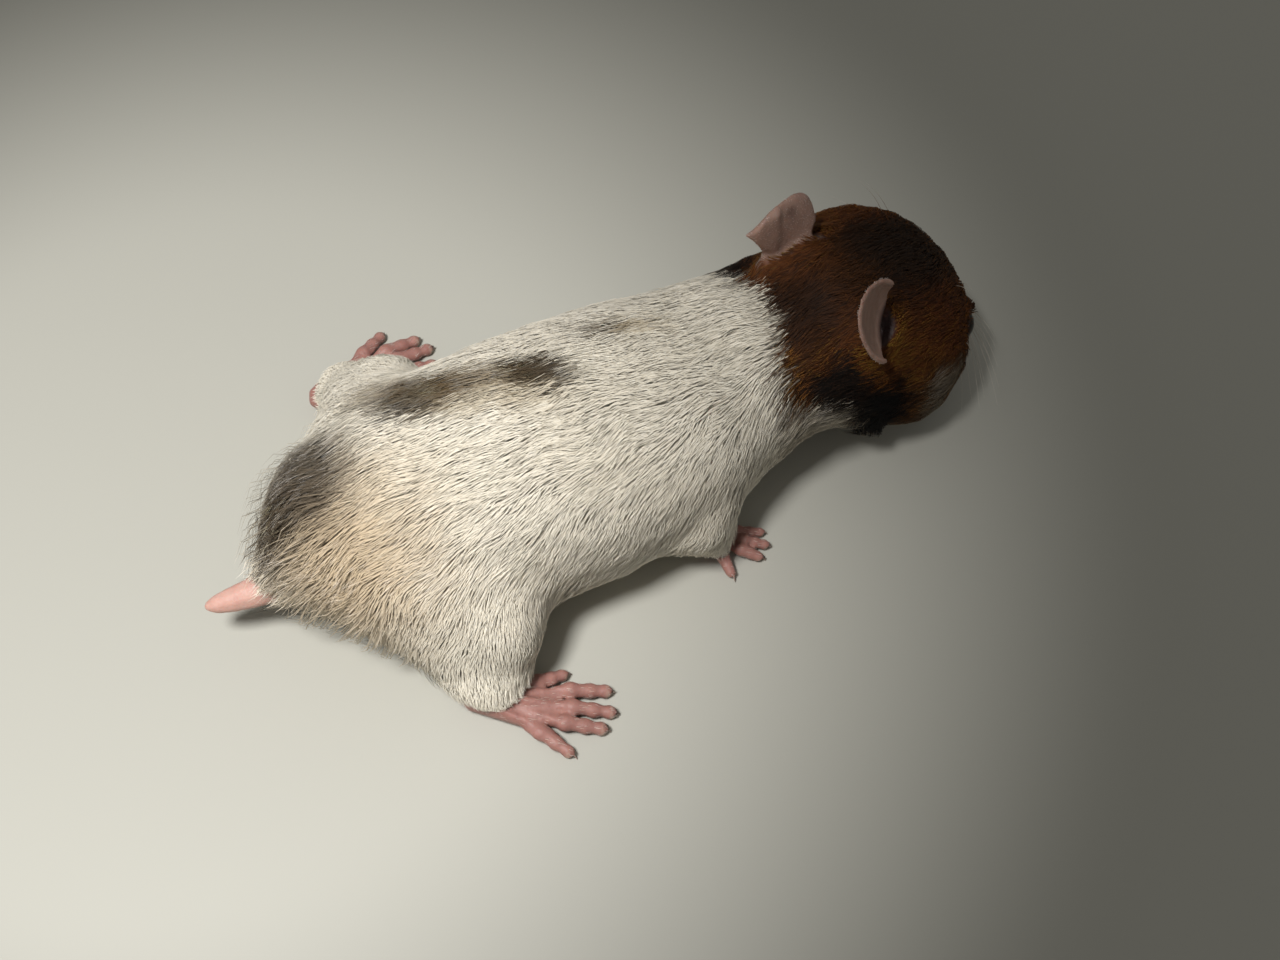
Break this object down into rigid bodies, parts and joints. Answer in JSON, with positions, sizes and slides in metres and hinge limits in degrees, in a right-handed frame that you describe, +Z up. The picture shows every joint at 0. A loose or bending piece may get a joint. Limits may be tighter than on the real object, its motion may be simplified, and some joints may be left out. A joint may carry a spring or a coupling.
{
  "type": "syrian hamster pup",
  "caption": "Life-size still model of a young Syrian hamster creeping on a floor, legs spread, head turned a little and lowered.",
  "frame": {"origin": "on the floor, under the middle of the animal's own box", "axes": "+X to the front, along the trunk; +Y to the animal's left; +Z up"},
  "size_m": [0.0711, 0.0462, 0.0233],
  "materials": {
    "coat_white": "soft cream-white baby fur",
    "coat_brown": "soft golden-brown fur with dark tips",
    "bare_skin": "thin pink skin with a fine down",
    "eye": "wet black eye",
    "claw": "pale translucent horn"
  },
  "bodies": {
    "root": {"trunk": "coat_white", "neck": "coat_white", "tail": "bare_skin", "head": "coat_brown", "nose": "bare_skin", "eye_left": "eye", "eye_right": "eye", "ear_left": "bare_skin", "ear_right": "bare_skin", "hindleg_left": "coat_white", "hindleg_right": "coat_white", "hindfoot_left": "bare_skin", "hindfoot_right": "bare_skin", "foreleg_left": "coat_white", "foreleg_right": "coat_white", "forefoot_left": "bare_skin", "forefoot_right": "bare_skin"}
  },
  "joints": []
}
